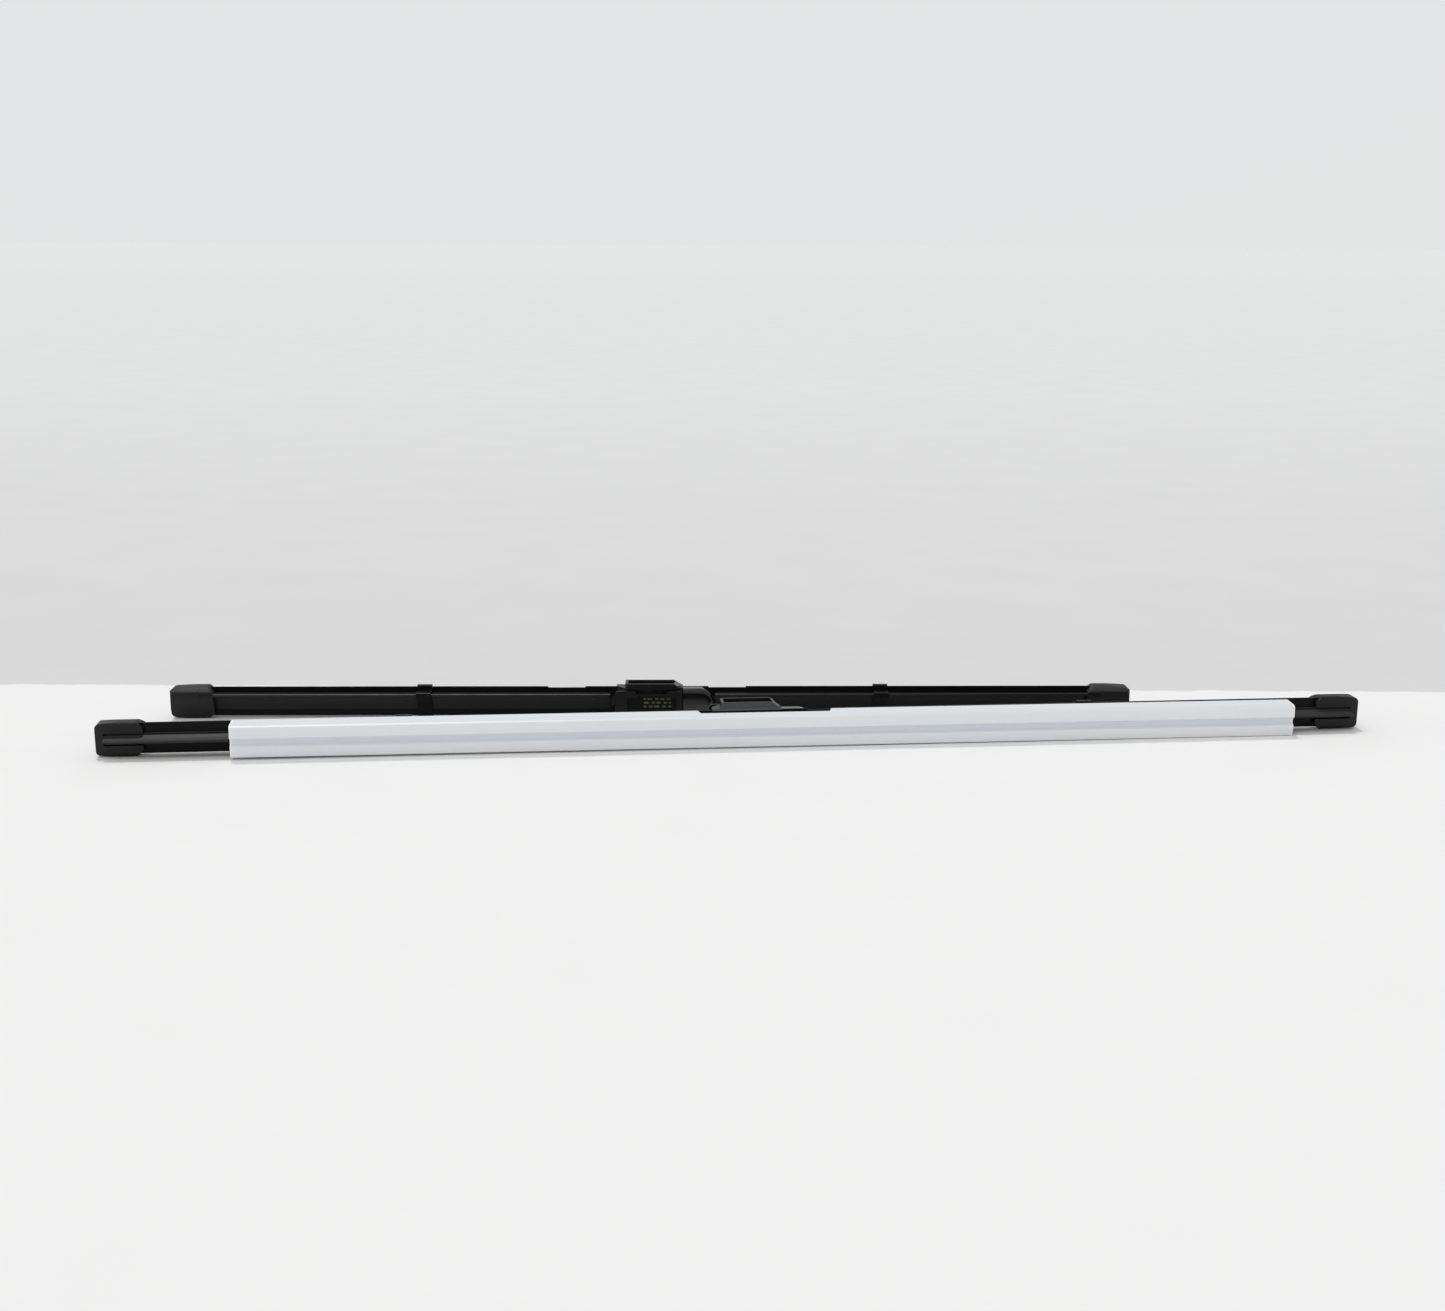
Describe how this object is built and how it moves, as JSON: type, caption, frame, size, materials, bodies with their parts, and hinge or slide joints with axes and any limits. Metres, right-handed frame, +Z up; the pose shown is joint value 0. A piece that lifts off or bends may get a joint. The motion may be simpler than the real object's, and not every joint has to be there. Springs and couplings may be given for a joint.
{
  "type": "windshield wiper blade pair",
  "caption": "Pair of flat windshield wiper blades with spoilers, end caps, rocking connectors for a side pin, and a slip-on edge protector.",
  "frame": {"origin": "middle of the pair's footprint, on the surface that the blades stand on", "axes": "+X along the long blade, +Y from the long blade towards the short one, +Z up"},
  "size_m": [0.6, 0.088, 0.019],
  "materials": {
    "rail_steel": "satin",
    "wiper_rubber": "matte",
    "spoiler_plastic": "satin",
    "cap_plastic": "satin",
    "clip_metal": "satin",
    "connector_plastic": "satin",
    "flap_plastic": "satin",
    "nose_plastic": "gloss",
    "adapter_plastic": "satin",
    "bush_steel": "satin",
    "protector_plastic": "satin"
  },
  "bodies": {
    "long_blade": {"long_upper_rail": "rail_steel", "long_lower_rail": "rail_steel", "long_wiping_rubber": "wiper_rubber", "long_spoiler_left": "spoiler_plastic", "long_spoiler_right": "spoiler_plastic", "long_end_cap_left": "cap_plastic", "long_end_cap_right": "cap_plastic", "long_clip_left": "clip_metal", "long_clip_right": "clip_metal", "long_connector_base": "connector_plastic", "long_nose_fairing": "nose_plastic"},
    "short_blade": {"short_upper_rail": "rail_steel", "short_lower_rail": "rail_steel", "short_wiping_rubber": "wiper_rubber", "short_spoiler_left": "spoiler_plastic", "short_spoiler_right": "spoiler_plastic", "short_end_cap_left": "cap_plastic", "short_end_cap_right": "cap_plastic", "short_clip_left": "clip_metal", "short_clip_right": "clip_metal", "short_connector_base": "connector_plastic", "short_nose_fairing": "nose_plastic"},
    "long_rocker": {"long_adapter": "adapter_plastic", "long_pivot_bush": "bush_steel", "long_flap_pin": "bush_steel"},
    "long_flap": {"long_lock_flap": "flap_plastic"},
    "short_rocker": {"short_adapter": "adapter_plastic", "short_pivot_bush": "bush_steel", "short_flap_pin": "bush_steel"},
    "short_flap": {"short_lock_flap": "flap_plastic"},
    "protector": {"edge_protector": "protector_plastic"}
  },
  "joints": [
    {"name": "long_rock", "type": "hinge", "parent": "long_blade", "child": "long_rocker", "pos_m": [0.001, -0.02544, 0.0083], "axis": [0, 0, 1], "range_deg": [-10, 10]},
    {"name": "long_flap_open", "type": "hinge", "parent": "long_rocker", "child": "long_flap", "pos_m": [-0.0162, -0.02264, 0.0083], "axis": [0, 0, 1], "range_deg": [0, 40]},
    {"name": "short_rock", "type": "hinge", "parent": "short_blade", "child": "short_rocker", "pos_m": [-0.0422, 0.01277, 0.0083], "axis": [0, 0, -1], "range_deg": [-10, 10]},
    {"name": "short_flap_open", "type": "hinge", "parent": "short_rocker", "child": "short_flap", "pos_m": [-0.05956, 0.0113, 0.0083], "axis": [0, 0, -1], "range_deg": [0, 40]},
    {"name": "protector_slip", "type": "slide", "parent": "long_blade", "child": "protector", "axis": [0, -1, 0], "range_m": [0, 0.06]},
    {"name": "blades_apart", "type": "slide", "parent": "long_blade", "child": "short_blade", "axis": [0, 1, 0], "range_m": [0, 0.08]}
  ]
}
